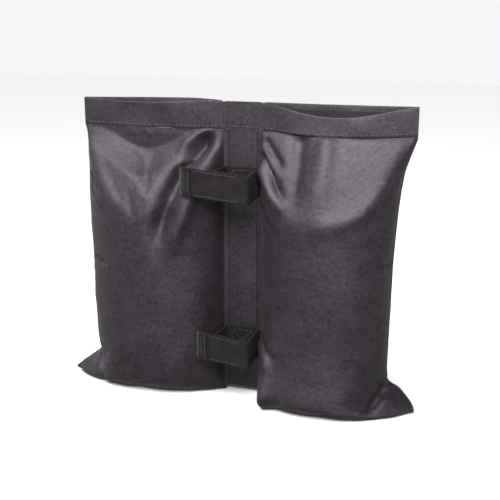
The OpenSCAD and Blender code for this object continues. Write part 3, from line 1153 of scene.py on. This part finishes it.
@dataclass
class Mouth:
    """A pocket's mouth: front and back hem bands with a closing tape inside each."""

    pocket: Pocket
    lean: float = 10 * MM
    dip: float = 6 * MM
    back_lean: float = 1.5 * MM
    ease: float = 42 * MM

    def band_point(self, u: np.ndarray, h: np.ndarray, face: Face) -> np.ndarray:
        """Gives points in the middle of a hem band.

        Args:
            u: shares of the way across, from the fold line to the side seam.
            h: shares of the way up the band, one for each u.
            face: which band.

        Returns:
            An array of points on the right-hand side of the bag.
        """
        m = self.pocket.measures
        lean_curve, fullness, arc_curve = 1.3, 1.3, 0.6
        ripple_height, back_dip, beside_fold = 2.0 * MM, 0.8 * MM, 0.6 * MM
        out, hang = self.pocket.mouth_line(u, face)
        arch = np.sin(math.pi * np.clip(u, 0, 1)) ** fullness
        lean = self.lean if face is Face.FRONT else self.back_lean
        top = m.front_top if face is Face.FRONT else m.back_top
        drop = (m.back_top - m.front_top) * (1 - arch) if face is Face.FRONT else 0
        ripple = np.array([noise.noise(Vector((a * 6 + self.pocket.seed, b, face.value)))
                           for a, b in zip(u, h)])
        depth = out + lean * arch * np.maximum(h, 0) ** lean_curve
        depth = depth + ripple_height * ripple * np.minimum(1, 12 * u * (1 - u))
        dip = self.dip * arch * h if face is Face.FRONT else back_dip * arch * h
        x = m.fold_x + beside_fold + (m.mouth_x - m.fold_x - beside_fold) * u
        arc = self.pocket.hem_arc * np.sin(math.pi * np.clip(u, 0, 1) ** arc_curve) * np.maximum(h, 0)
        z = m.hem_z - hang + (top - m.hem_z) * h + drop * h - dip + arc
        return np.stack([x, face.value * depth, z], -1)

    def band(self, name: str, face: Face, start: float, end: float, low: float, high: float,
             thickness: float, offset: float, material: bpy.types.Material) -> bpy.types.Object:
        """Builds a stretch of a band or of the tape on it.

        Args:
            name: the piece's name.
            face: which band it follows.
            start: the share across where it starts.
            end: the share across where it ends.
            low: the share of the band's height where it starts.
            high: the share where it ends.
            thickness: its thickness.
            offset: how far its middle stands inside the band's middle.
            material: its finish.

        Returns:
            The new object.
        """
        count = max(8, int(36 * (end - start)))
        u = np.linspace(start, end, count)
        bottom = self.band_point(u, np.full_like(u, low), face)
        mid = self.band_point(u, np.full_like(u, (low + high) / 2), face)
        crown = self.band_point(u, np.full_like(u, high), face)
        side = self.pocket.side.value
        inward = -face.value

        reach = np.linalg.norm(crown - bottom, axis=1).mean()
        flat = rounded_section(reach, thickness)
        share = flat[:, 0] / reach + 0.5
        points, uvs = [], []
        for k in range(count):
            a, b, c = bottom[k], mid[k], crown[k]
            for s, (across, through) in zip(share, flat):
                place = a * (1 - s) * (1 - 2 * s) + 4 * b * s * (1 - s) + c * s * (2 * s - 1)
                place = place + np.array([0, inward * offset + through, 0])
                points.append(place * (side, 1, 1))
                uvs.append((place[0], across))
        faces = tube_faces(count, len(flat))
        piece = mesh_piece(name, np.array(points), faces, material, np.array(uvs))
        outward(piece)
        return piece

    def follow(self, piece: bpy.types.Object) -> None:
        """Bakes a front hem piece's placement into its mesh.

        Args:
            piece: the piece, changed in place.
        """
        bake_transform(piece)

    def hem_thread(self, name: str, face: Face, start: float, end: float) -> bpy.types.Object:
        """Sews the row along a hem's lower edge.

        Args:
            name: the piece's name.
            face: which hem.
            start: the share across where the row starts.
            end: the share where it ends.

        Returns:
            The new object.
        """
        above_edge = 0.09
        u = np.linspace(start, end, 40)
        line = self.band_point(u, np.full_like(u, above_edge), face)
        line[:, 1] += face.value * self.pocket.measures.hem_t / 2
        line *= (self.pocket.side.value, 1, 1)
        normals = np.tile([0.0, float(face.value), 0.0], (len(u), 1))
        return stitches(name, [(line, normals)], self.pocket.finishes.thread, **STITCH)

    def build(self) -> None:
        """Builds both hems, both tapes and their stitches."""
        m, finishes, word = self.pocket.measures, self.pocket.finishes, self.pocket.side.word
        tape_low, tape_high, tape_t = 0.14, 0.8, 1.1 * MM
        inset, below, back_start, row_inset = 0.035, -0.03, 0.016, 0.02
        inside = (m.hem_t + tape_t) / 2
        for part, (start, end) in {"inner": (0.0, 0.5), "outer": (0.5, 1.0)}.items():
            cloth = self.band(f"{word}_front_hem_{part}", Face.FRONT, start, end, below, 1.0, m.hem_t, 0.0,
                              finishes.hem)
            tape = self.band(f"{word}_hook_tape_{part}", Face.FRONT, max(start, inset), min(end, 1 - inset),
                             tape_low, tape_high, tape_t, inside, finishes.hook)
            thread = self.hem_thread(f"{word}_front_hem_thread_{part}", Face.FRONT, max(start, row_inset),
                                     min(end, 1 - row_inset))
            for piece, node, slot in ((cloth, "front_hem", "hem_cloth"), (tape, "hook_tape", "hook_tape"),
                                      (thread, "hem_stitching", "thread")):
                self.follow(piece)
                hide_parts(f"{word}_{node}")
        back = self.band(f"{word}_back_hem_band", Face.BACK, back_start, 1.0, below, 1.0, m.hem_t, 0.0,
                         finishes.hem)
        tape = self.band(f"{word}_loop_tape_strip", Face.BACK, inset, 1 - inset, tape_low, tape_high, tape_t,
                         inside, finishes.loop)
        thread = self.hem_thread(f"{word}_back_hem_thread", Face.BACK, row_inset, 1 - row_inset)
        for piece, node, slot in ((back, "back_hem", "hem_cloth"), (tape, "loop_tape", "loop_tape"),
                                  (thread, "", "thread")):
            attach(piece, f"{word}_pocket")
            if node:
                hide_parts(f"{word}_{node}")
        self.build_joining()
        log.info("%s mouth built", word)

    def build_joining(self) -> None:
        """Closes the hems' inner ends onto the web with a folded strip on each face."""
        m, word, sign = self.pocket.measures, self.pocket.side.word, self.pocket.side.value
        z = np.linspace(m.hem_z - 2 * MM, m.back_top - 0.8 * MM, 24)
        middle = (m.web_half + m.fold_x + 1.5 * MM) / 2
        width, thickness = 9 * MM, 1.2 * MM
        for face in Face:
            y = face.value * (m.cloth + 1.0 * MM)
            path = np.stack([np.full_like(z, sign * middle), np.full_like(z, y), z], 1)
            across = np.tile([1.0, 0.0, 0.0], (len(z), 1))
            through = np.tile([0.0, 1.0, 0.0], (len(z), 1))
            name = f"{word}_mouth_joining_{face.name.lower()}"
            strip = sweep(name, path, across, through, width, thickness, self.pocket.finishes.hem)
            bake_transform(strip)


# ---------------------------------------------------------------- web


@dataclass
class Web:
    """The flat web between the pockets: two layers of cloth with a folded top and two rows of thread."""

    measures: Measures
    finishes: Finishes
    row_inset: float = 4 * MM

    def layer(self, face: Face) -> bpy.types.Object:
        """Builds one layer of the web's cloth, a little wavy between its rows of thread.

        Args:
            face: which layer.

        Returns:
            The new object.
        """
        m = self.measures
        rows, columns = 90, 12
        fold_height, fold_lift, puff_height, inner_y = 1.5 * MM, 0.9 * MM, 0.5 * MM, 0.05 * MM
        xs = np.linspace(-m.web_half, m.web_half, columns + 1)
        zs = np.linspace(m.web_low, m.back_top, rows + 1)
        outer, inner, uvs = [], [], []
        for z in zs:
            hem = np.clip((z - m.hem_z) / fold_height, 0, 1) * fold_lift
            for x in xs:
                quilt = max(0.0, 1 - (x / (m.web_half - self.row_inset)) ** 2)
                puff = puff_height * quilt * (0.6 + noise.noise(Vector((x * 30, z * 25, face.value))))
                outer.append((x, face.value * (m.cloth + hem + puff * (z < m.hem_z)), z))
                inner.append((x, face.value * inner_y, z))
                uvs.append((x + 0.3, z))
        count = len(outer)
        points = np.array(outer + inner)
        wide = columns + 1
        faces = []
        for j in range(rows):
            for i in range(columns):
                a = j * wide + i
                ring = (a, a + 1, a + 1 + wide, a + wide)
                faces.append(ring)
                faces.append(tuple(v + count for v in reversed(ring)))
        border = ([(0, i) for i in range(columns)] + [(j, columns) for j in range(rows)]
                  + [(rows, i) for i in range(columns, 0, -1)] + [(j, 0) for j in range(rows, 0, -1)])
        ids = [j * wide + i for j, i in border]
        faces += [(b, a, a + count, b + count) for a, b in zip(ids, ids[1:] + ids[:1])]
        name = "front" if face is Face.FRONT else "back"
        piece = mesh_piece(f"web_{name}_layer", points, faces, self.finishes.web, np.array(uvs + uvs))
        outward(piece)
        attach(piece, "web")
        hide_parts(f"web_{name}_cloth")
        return piece

    def build(self) -> None:
        """Builds both layers and the upright rows of thread."""
        m, thread_lift = self.measures, 0.45 * MM
        runs = []
        for face in Face:
            self.layer(face)
            y = face.value * (m.cloth + thread_lift)
            for sign in (-1, 1):
                x = sign * (m.web_half - self.row_inset)
                z = np.linspace(m.web_low + 4 * MM, m.hem_z - 3 * MM, 60)
                line = np.stack([np.full_like(z, x), np.full_like(z, y), z], 1)
                runs.append((line, np.tile([0.0, float(face.value), 0.0], (len(z), 1))))
            x = np.linspace(-m.web_half + 2 * MM, m.web_half - 2 * MM, 20)
            hem_y = face.value * (m.cloth + 0.95 * MM)
            line = np.stack([x, np.full_like(x, hem_y), np.full_like(x, m.hem_z + 3.5 * MM)], 1)
            runs.append((line, np.tile([0.0, float(face.value), 0.0], (len(x), 1))))
        thread = stitches("web_thread", runs, self.finishes.thread, **STITCH)
        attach(thread, "web")
        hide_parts("web_stitching")
        log.info("web built")


# ---------------------------------------------------------------- straps


def rounded_path(corners: list[tuple[float, float]], radius: float, step: float = 1.5 * MM) -> np.ndarray:
    """Draws a path through corners in the horizontal plane, each one rounded.

    Args:
        corners: the path's corners as (x, y).
        radius: the bend's radius.
        step: the distance between points.

    Returns:
        An array of (x, y) points.
    """
    spots = [np.array(c, dtype=float) for c in corners]
    points = [spots[0]]
    for before, corner, after in zip(spots, spots[1:], spots[2:]):
        enter = corner + (before - corner) / np.linalg.norm(before - corner) * radius
        leave = corner + (after - corner) / np.linalg.norm(after - corner) * radius
        for share in np.linspace(0, 1, 9):
            points.append(enter * (1 - share) ** 2 + 2 * corner * share * (1 - share) + leave * share ** 2)
    points.append(spots[-1])
    line = np.array(points)
    reach = np.concatenate([[0], np.cumsum(np.linalg.norm(np.diff(line, axis=0), axis=1))])
    keep = np.unique(np.concatenate([reach, np.arange(0, reach[-1], step)]))
    keep = keep[np.concatenate([[True], np.diff(keep) > 0.2 * MM])]
    return np.stack([np.interp(keep, reach, line[:, 0]), np.interp(keep, reach, line[:, 1])], 1)


@dataclass
class Strap:
    """One hook-and-loop strap: sewn across the web, round both sides of the leg and lapped in front."""

    level: str
    finishes: Finishes
    tilt: float = 9 * MM
    drop: float = 3.5 * MM
    thickness: float = 2.0 * MM
    peep: float = 6 * MM

    def __post_init__(self) -> None:
        """Reads the strap's places from the frame."""
        base_low, base_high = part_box(f"{self.level}_strap_base")
        wrap_low, wrap_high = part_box(f"{self.level}_strap_wrap")
        to_middle = 1.1 * MM
        self.z = (base_low[2] + base_high[2]) / 2
        self.width = base_high[2] - base_low[2]
        self.web_y = base_high[1] - to_middle
        self.right_x = base_high[0] - to_middle
        self.left_x = wrap_low[0] + to_middle
        self.wrap_y = wrap_low[1] + to_middle
        self.wrap_end = wrap_high[0]
        self.tail_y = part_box(f"{self.level}_hook_patch")[0][1] - to_middle
        self.tip_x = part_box(f"{self.level}_strap_tail")[0][0]
        self.loop_y = sum(corner[1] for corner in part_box(f"{self.level}_loop_patch")) / 2
        self.hook_y = sum(corner[1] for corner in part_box(f"{self.level}_hook_patch")) / 2

    def rise(self, x: np.ndarray, y: np.ndarray) -> np.ndarray:
        """Gives how far points stand above the strap's level, since it slants across the front.

        Args:
            x: where the points are across.
            y: where they are from front to back.

        Returns:
            The heights above the level.
        """
        slant = self.tilt * (self.right_x - x) / (self.right_x - self.tip_x) - self.drop
        forward = np.clip((self.web_y - y) / (self.web_y - self.wrap_y), 0, 1)
        return slant * forward ** 1.5

    def ribbon(self, name: str, path: np.ndarray, width: float, thickness: float,
               material: bpy.types.Material) -> bpy.types.Object:
        """Draws a flat ribbon that stands on edge along a horizontal path.

        Args:
            name: the piece's name.
            path: the ribbon's middle line as (x, y).
            width: its width.
            thickness: its thickness.
            material: its finish.

        Returns:
            The new object.
        """
        ahead = np.gradient(path, axis=0)
        ahead /= np.linalg.norm(ahead, axis=1)[:, None]
        through = np.stack([ahead[:, 1], -ahead[:, 0], np.zeros(len(path))], 1)
        line = np.column_stack([path, self.z + self.rise(path[:, 0], path[:, 1])])
        upright = np.tile([0.0, 0.0, 1.0], (len(path), 1))
        return sweep(name, line, upright, through, width, thickness, material)

    def build(self) -> None:
        """Builds the webbing, the patches and their thread."""
        self.build_tail()
        self.build_wrap()
        self.build_box()
        log.info("%s strap built", self.level)

    def build_tail(self) -> None:
        """Builds the half that crosses the web, comes forward on the right and laps over the front."""
        word = self.level
        end_x = self.tip_x + self.peep
        fold = self.tail_y - self.thickness * 1.05
        patch_t, turned_back = 1.1 * MM, 10 * MM
        corners = [(self.left_x + 4 * MM, self.web_y), (self.right_x, self.web_y),
                   (self.right_x, self.tail_y), (end_x, self.tail_y)]
        path = rounded_path(corners, 4 * MM)
        turn = np.radians(np.linspace(90, 270, 9))[1:]
        middle = (self.tail_y + fold) / 2
        bend = np.stack([end_x + (middle - fold) * np.cos(turn),
                         middle + (self.tail_y - middle) * np.sin(turn)], 1)
        back = np.stack([np.linspace(end_x, end_x + turned_back, 7)[1:], np.full(6, fold)], 1)
        path = np.concatenate([path, bend, back])
        webbing = self.ribbon(f"{word}_strap_webbing", path, self.width, self.thickness,
                              self.finishes.webbing)
        hook_path = np.stack([np.linspace(self.wrap_end - 2 * MM, self.tip_x, 40),
                              np.full(40, self.hook_y)], 1)
        hook = self.ribbon(f"{word}_hook_strip", hook_path, self.width - 1 * MM, patch_t, self.finishes.hook)
        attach(hook, f"{word}_tail_half")
        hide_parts(f"{word}_hook_patch")
        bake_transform(webbing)
        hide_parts(f"{word}_strap_base", f"{word}_strap_tail")
        self.end_thread()

    def end_thread(self) -> None:
        """Sews the folded end of the free half, and the hook strip along its edges."""
        word = self.level
        front = self.tail_y - self.thickness * 1.55
        half = self.width / 2 - 5 * MM
        z = np.linspace(-half, half, 12)
        end_x = self.tip_x + self.peep
        runs = []
        for x in (end_x + 2 * MM, end_x + 7 * MM):
            line = np.stack([np.full_like(z, x), np.full_like(z, front), self.z + z + self.rise(x, front)], 1)
            runs.append((line, np.tile([0.0, -1.0, 0.0], (len(z), 1))))
        x = np.linspace(end_x + 12 * MM, self.right_x - 12 * MM, 30)
        for sign in (-1, 1):
            line = np.stack([x, np.full_like(x, self.tail_y - self.thickness / 2),
                             self.z + self.rise(x, front) + sign * (self.width / 2 - 3 * MM)], 1)
            runs.append((line, np.tile([0.0, -1.0, 0.0], (len(x), 1))))
        thread = stitches(f"{word}_tail_thread", runs, self.finishes.thread, length=3.2 * MM, pitch=4.6 * MM,
                          radius=0.36 * MM)
        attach(thread, f"{word}_tail_half")

    def build_wrap(self) -> None:
        """Builds the half that comes forward on the left and lies under the free half."""
        word = self.level
        corners = [(self.left_x + 4 * MM, self.web_y), (self.left_x, self.web_y), (self.left_x, self.wrap_y),
                   (self.wrap_end, self.wrap_y)]
        path = rounded_path(corners, 3.5 * MM)
        webbing = self.ribbon(f"{word}_wrap_webbing", path, self.width, self.thickness, self.finishes.webbing)
        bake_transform(webbing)
        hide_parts(f"{word}_strap_wrap")
        loop_path = np.stack([np.linspace(self.left_x + 2 * MM, self.wrap_end - 1 * MM, 24),
                              np.full(24, self.loop_y)], 1)
        loop = self.ribbon(f"{word}_loop_strip", loop_path, self.width - 4 * MM, 1.1 * MM, self.finishes.loop)
        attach(loop, f"{word}_wrap_half")
        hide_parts(f"{word}_loop_patch")

    def build_box(self) -> None:
        """Sews the box and cross that hold the strap to the web."""
        half_x, half_z = 15 * MM, self.width / 2 - 5 * MM
        y = self.web_y - self.thickness / 2
        corners = [(-half_x, -half_z), (half_x, -half_z), (half_x, half_z), (-half_x, half_z)]
        lines = list(zip(corners, corners[1:] + corners[:1]))
        lines += [(corners[0], corners[2]), (corners[1], corners[3])]
        runs = []
        for (x0, z0), (x1, z1) in lines:
            share = np.linspace(0, 1, 14)
            line = np.stack([x0 + (x1 - x0) * share, np.full_like(share, y),
                             self.z + z0 + (z1 - z0) * share], 1)
            runs.append((line, np.tile([0.0, -1.0, 0.0], (len(share), 1))))
        thread = stitches(f"{self.level}_box_thread", runs, self.finishes.thread, length=3.0 * MM,
                          pitch=4.2 * MM, radius=0.38 * MM)
        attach(thread, "web")
        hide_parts(f"{self.level}_box_stitch")


# ---------------------------------------------------------------- studio


@dataclass
class Studio:
    """A pale floor, soft lights and the camera."""

    azimuth: float = 17.9
    elevation: float = 14.85
    distance: float = 1.2666
    lens: float = 66.44
    target: Point = (0.0, 0.0, 0.2)
    shift: tuple[float, float] = (0.014, 0.0106)
    sky_levels: tuple[float, float, float, float] = (0.35, 1.0, 1.0, 0.12)

    def softbox(self, name: str, place: Point, size: float, power: float) -> None:
        """Adds a square soft light that faces the bag.

        Args:
            name: the light's name.
            place: where it stands.
            size: its side.
            power: its power in watts.
        """
        lamp = bpy.data.lights.new(name, "AREA")
        lamp.size = size
        lamp.energy = power
        stand = bpy.data.objects.new(name, lamp)
        stand.location = place
        stand.rotation_euler = (Vector(self.target) - Vector(place)).to_track_quat("-Z", "Y").to_euler()
        bpy.context.scene.collection.objects.link(stand)

    def daylight(self, name: str, place: Point, spread: float, power: float) -> None:
        """Adds an even soft light over the whole floor.

        Args:
            name: the light's name.
            place: the side it comes from.
            spread: how wide the source looks, in degrees.
            power: its power in watts per square metre.
        """
        lamp = bpy.data.lights.new(name, "SUN")
        lamp.angle = math.radians(spread)
        lamp.energy = power
        stand = bpy.data.objects.new(name, lamp)
        stand.rotation_euler = (-Vector(place)).to_track_quat("-Z", "Y").to_euler()
        bpy.context.scene.collection.objects.link(stand)

    def build(self) -> None:
        """Builds the floor, the lights and the camera."""
        scene = bpy.context.scene
        half = 6.0
        corners = np.array([(-half, -half, 0), (half, -half, 0), (half, half, 0), (-half, half, 0)])
        floor = mesh_piece("floor", corners, [(0, 1, 2, 3)],
                           PalePaint("floor_paint", (0.82, 0.82, 0.82)).material())
        floor.visible_glossy = False
        sky = bpy.data.worlds.new("studio")
        sky.use_nodes = True
        tree = sky.node_tree
        background = tree.nodes["Background"]
        where = tree.nodes.new("ShaderNodeTexCoord")
        split = tree.nodes.new("ShaderNodeSeparateXYZ")
        height = tree.nodes.new("ShaderNodeMapRange")
        height.inputs["From Min"].default_value = -1.0
        ramp = tree.nodes.new("ShaderNodeValToRGB")
        tree.links.new(where.outputs["Generated"], split.inputs["Vector"])
        tree.links.new(split.outputs["Z"], height.inputs["Value"])
        tree.links.new(height.outputs["Result"], ramp.inputs["Fac"])
        tree.links.new(ramp.outputs["Color"], background.inputs["Color"])
        stops = ramp.color_ramp.elements
        stops[0].position, stops[1].position = 0.40, 0.70
        stops.new(0.45)
        stops.new(0.53)
        for stop, level in zip(stops, self.sky_levels):
            stop.color = (level, level, level, 1)
        background.inputs["Strength"].default_value = 0.92
        scene.world = sky
        self.daylight("daylight", (-0.5, -0.2, 1.0), 26.0, 3.3)
        self.softbox("key", (0.2, -1.2, 1.4), 0.9, 70)
        turn, rise = math.radians(self.azimuth), math.radians(self.elevation)
        back = Vector((math.sin(turn) * math.cos(rise), -math.cos(turn) * math.cos(rise), math.sin(rise)))
        lens = bpy.data.cameras.new("camera")
        lens.lens, lens.sensor_width = self.lens, 36
        lens.shift_x, lens.shift_y = self.shift
        camera = bpy.data.objects.new("camera", lens)
        camera.location = Vector(self.target) + back * self.distance
        camera.rotation_euler = (-back).to_track_quat("-Z", "Y").to_euler()
        scene.collection.objects.link(camera)
        scene.camera = camera
        scene.view_settings.view_transform = "Standard"
        log.info("studio built")


# ---------------------------------------------------------------- the whole bag


def main() -> None:
    """Builds every sub-assembly in order."""
    logging.basicConfig(level=logging.INFO, format="%(name)s: %(message)s")
    measures, finishes = Measures(), Finishes()
    right = Pocket(
        Side.RIGHT, measures, finishes, bow=17 * MM, sag=3 * MM, seed=3.0, foot=1.2, squat=0.62,
        swell=10 * MM, bolster=0.95,
        seam_profile=((0, 243), (9, 241), (20, 229), (30, 212), (38, 203.5), (57, 202.5), (100, 203),
                      (156, 204), (204, 204.8), (238, 206.5), (277, 209), (303, 211.5), (329, 215.5),
                      (349, 222), (364, 227.5), (373, 230)),
        creases=(
            Crease(((-4, 334), (18, 303), (40, 266)), 7, 7, 1.8),
            Crease(((-2, 347), (20, 318), (46, 277)), -9, 6),
            Crease(((6, 364), (20, 347), (42, 320)), -5.5, 6),
            Crease(((0, 279), (14, 260), (34, 234)), -5, 6),
            Crease(((2, 300), (18, 270), (38, 240)), 2.5, 6),
            Crease(((56, 400), (56, 330), (50, 256)), -8, 13),
            Crease(((92, 400), (92, 330), (82, 250)), 6, 14),
            Crease(((204, 344), (191, 327), (168, 299), (145, 277), (115, 264), (50, 254)), 4, 11),
            Crease(((188, 205), (156, 203)), -3, 4),
            Crease(((3, 86), (14, 70), (32, 54)), 4, 5),
            Crease(((6, 98), (20, 82), (36, 66)), -4, 5),
            Crease(((196, 60), (183, 41), (154, 4)), -9, 6),
        ),
        back_creases=(
            Crease(((8, 352), (30, 318), (62, 268)), -6, 10),
            Crease(((150, 390), (128, 330), (104, 262)), 4, 13),
            Crease(((186, 236), (150, 226)), -4, 5),
            Crease(((196, 60), (183, 41), (154, 4)), -7, 6),
        ))
    left = Pocket(
        Side.LEFT, measures, finishes, bow=1.5 * MM, sag=1 * MM, seed=9.0, foot=0.96, squat=0.1, brow=35 * MM,
        fill_z=272 * MM, hem_arc=3.5 * MM,
        seam_profile=((0, 262), (9, 260), (20, 246), (30, 232), (42, 221), (67, 219.1), (129, 219.5),
                      (205, 221), (278, 224), (320, 225.5), (363, 227.5), (373, 230)),
        creases=(
            Crease(((14, 380), (32, 366), (46, 355), (66, 336)), 6, 6, 1.7),
            Crease(((14, 372), (31, 347), (45, 328), (55, 301), (63, 274), (69, 244), (75, 186)), -16, 13),
            Crease(((27, 318), (36, 286), (44, 259), (54, 237), (70, 190)), 9, 11),
            Crease(((190, 310), (165, 276)), -5, 5),
            Crease(((186, 296), (160, 260)), 3, 5),
            Crease(((186, 192), (149, 184)), -4, 4),
            Crease(((184, 60), (156, 51)), -4, 4),
            Crease(((196, 50), (180, 28), (164, 3)), -9, 6),
            Crease(((176, 20), (160, 6)), 4, 5),
            Crease(((3, 84), (14, 70), (30, 56)), 3, 5),
        ),
        back_creases=(
            Crease(((10, 356), (40, 315), (70, 256)), -7, 11),
            Crease(((84, 392), (84, 330), (78, 270)), -5, 13),
            Crease(((188, 318), (154, 292)), -4, 5),
            Crease(((196, 48), (180, 27), (162, 3)), -7, 6),
        ))
    for pocket, mouth in ((right, Mouth(right, lean=-3 * MM, dip=7 * MM)),
                          (left, Mouth(left, lean=0.5 * MM, dip=0.5 * MM))):
        pocket.build()
        mouth.build()
    Web(measures, finishes).build()
    for level in ("upper", "lower"):
        Strap(level, finishes).build()
    Studio().build()


if __name__ == "__main__":
    main()
